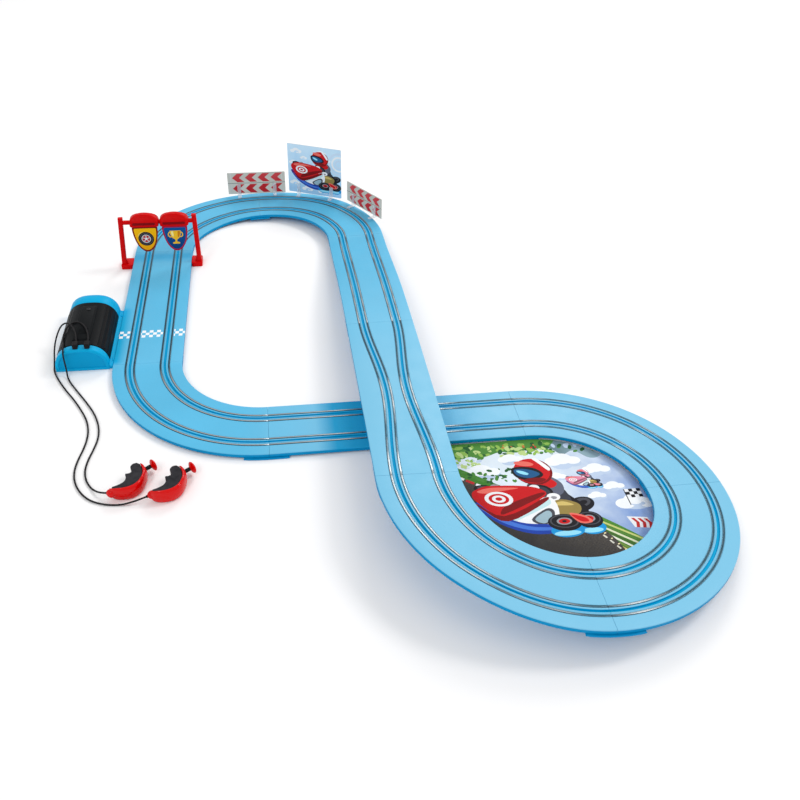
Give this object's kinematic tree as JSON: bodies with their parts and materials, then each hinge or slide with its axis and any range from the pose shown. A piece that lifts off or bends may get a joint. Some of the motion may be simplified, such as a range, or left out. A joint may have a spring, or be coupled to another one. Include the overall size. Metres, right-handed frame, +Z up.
{
  "type": "slot car track set",
  "caption": "Two-lane toy slot car track: a figure of eight with a bridge, start gantry, trackside boards, battery box and wired thumb controllers.",
  "frame": {"origin": "centre of the footprint of the set without its cables and plugs, on the surface it stands on", "axes": "+X across the layout, from the battery box to the loop; +Y along the layout, from the loop to the far curves with the boards; +Z up"},
  "size_m": [0.8513, 1.1, 0.1185],
  "materials": {
    "track_blue": "light blue moulded plastic, fine matte texture",
    "rail_metal": "flat conductor strip, drawn metal",
    "gantry_red": "red moulded plastic, satin",
    "shield_gold": "printed golden yellow plaque",
    "shield_blue": "printed deep blue plaque",
    "board_grey": "printed card, grey with red chevrons",
    "board_sky": "printed card, light blue picture",
    "clip_clear": "clear plastic",
    "box_cyan": "cyan moulded plastic, satin",
    "cover_black": "black moulded plastic",
    "cell_wrap": "wrapped dry cell",
    "contact_steel": "sprung steel",
    "controller_red": "red glossy plastic",
    "grip_grey": "dark grey soft grip",
    "plunger_black": "black moulded plastic",
    "cable_black": "thin round flexible cable",
    "card_print": "printed card"
  },
  "bodies": {
    "root": {"bridge_straight": "track_blue", "loop_curve_a": "track_blue", "loop_curve_b": "track_blue", "loop_curve_c": "track_blue", "underpass_straight": "track_blue", "infield_curve": "track_blue", "start_straight": "track_blue", "far_curve_a": "track_blue", "far_curve_b": "track_blue", "ramp_straight": "track_blue", "bridge_support_1": "track_blue", "bridge_support_2": "track_blue", "bridge_support_3": "track_blue", "bridge_support_4": "track_blue", "joint_foot_1": "track_blue", "joint_foot_2": "track_blue", "joint_foot_3": "track_blue", "joint_foot_4": "track_blue", "joint_foot_5": "track_blue", "joint_foot_6": "track_blue", "lane_1_rail_left": "rail_metal", "lane_1_rail_right": "rail_metal", "lane_2_rail_left": "rail_metal", "lane_2_rail_right": "rail_metal", "infield_card": "card_print", "gantry_frame": "gantry_red", "gantry_shield_left": "shield_gold", "gantry_shield_right": "shield_blue", "barrier_board_left": "board_grey", "barrier_board_right": "board_grey", "picture_board": "board_sky", "board_clip_1": "clip_clear", "board_clip_2": "clip_clear", "board_clip_3": "clip_clear", "board_clip_4": "clip_clear", "board_clip_5": "clip_clear", "board_clip_6": "clip_clear", "battery_box_base": "box_cyan", "battery_cover": "cover_black", "battery_cell_1": "cell_wrap", "battery_cell_2": "cell_wrap", "battery_cell_3": "cell_wrap", "battery_cell_4": "cell_wrap", "battery_contact": "contact_steel", "controller_1_lower_shell": "controller_red", "controller_1_upper_shell": "controller_red", "controller_1_grip": "grip_grey", "controller_1_spring": "contact_steel", "cable_1": "cable_black", "plug_1": "plunger_black", "controller_2_lower_shell": "controller_red", "controller_2_upper_shell": "controller_red", "controller_2_grip": "grip_grey", "controller_2_spring": "contact_steel", "cable_2": "cable_black", "plug_2": "plunger_black"},
    "controller_1_trigger": {"controller_1_plunger": "plunger_black", "controller_1_button": "controller_red"},
    "controller_2_trigger": {"controller_2_plunger": "plunger_black", "controller_2_button": "controller_red"}
  },
  "joints": [
    {"name": "controller_1_squeeze", "type": "slide", "parent": "root", "child": "controller_1_trigger", "axis": [-0.7986, -0.6018, 0], "range_m": [0, 0.006], "stiffness_N_per_m": 100, "springref_m": -0.004, "deforming": ["controller_1_spring"]},
    {"name": "controller_2_squeeze", "type": "slide", "parent": "root", "child": "controller_2_trigger", "axis": [-0.7986, -0.6018, 0], "range_m": [0, 0.006], "stiffness_N_per_m": 100, "springref_m": -0.004, "deforming": ["controller_2_spring"]}
  ]
}
